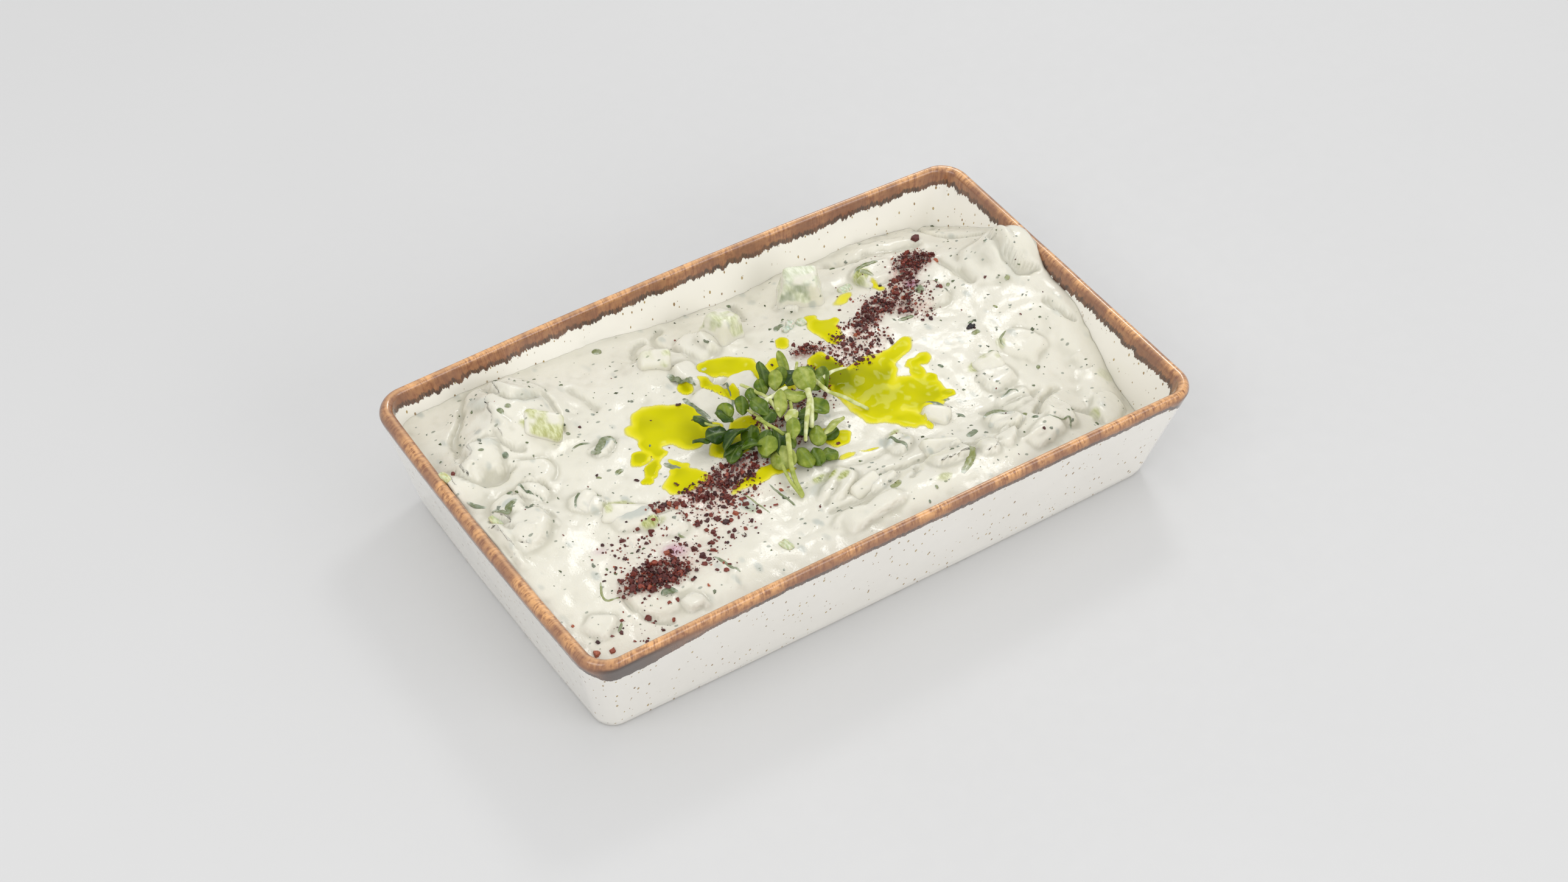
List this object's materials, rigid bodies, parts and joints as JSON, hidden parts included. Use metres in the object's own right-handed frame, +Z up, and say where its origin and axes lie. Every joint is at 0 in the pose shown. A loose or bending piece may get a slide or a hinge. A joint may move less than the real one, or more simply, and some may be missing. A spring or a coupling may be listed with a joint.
{
  "type": "tzatziki dip in a dish",
  "caption": "Yoghurt and cucumber dip in a shallow rectangular stoneware dish, topped with cucumber dice, sprouts, olive oil and sumac.",
  "frame": {"origin": "centre of the dish's flat base, on the table", "axes": "+X along the dish's long sides, +Y across it from the front long wall to the back one, +Z up"},
  "size_m": [0.1804, 0.1084, 0.0378],
  "materials": {
    "stoneware": "speckled off-white glaze, caramel-brown glaze on the rim",
    "dip": "thick glossy yoghurt with chopped herbs",
    "cucumber": "wet pale green flesh, dark green skin",
    "sprout": "fresh green leaves and pale stems",
    "oil": "clear yellow-green oil",
    "sumac": "coarse dark red-brown flakes",
    "herb": "dried herb flakes"
  },
  "bodies": {
    "root": {"dish": "stoneware", "dip": "dip", "cucumber_01": "cucumber", "cucumber_02": "cucumber", "cucumber_03": "cucumber", "cucumber_04": "cucumber", "cucumber_05": "cucumber", "cucumber_06": "cucumber", "cucumber_07": "cucumber", "cucumber_08": "cucumber", "cucumber_09": "cucumber", "cucumber_10": "cucumber", "cucumber_11": "cucumber", "cucumber_12": "cucumber", "microgreens": "sprout"}
  },
  "joints": []
}
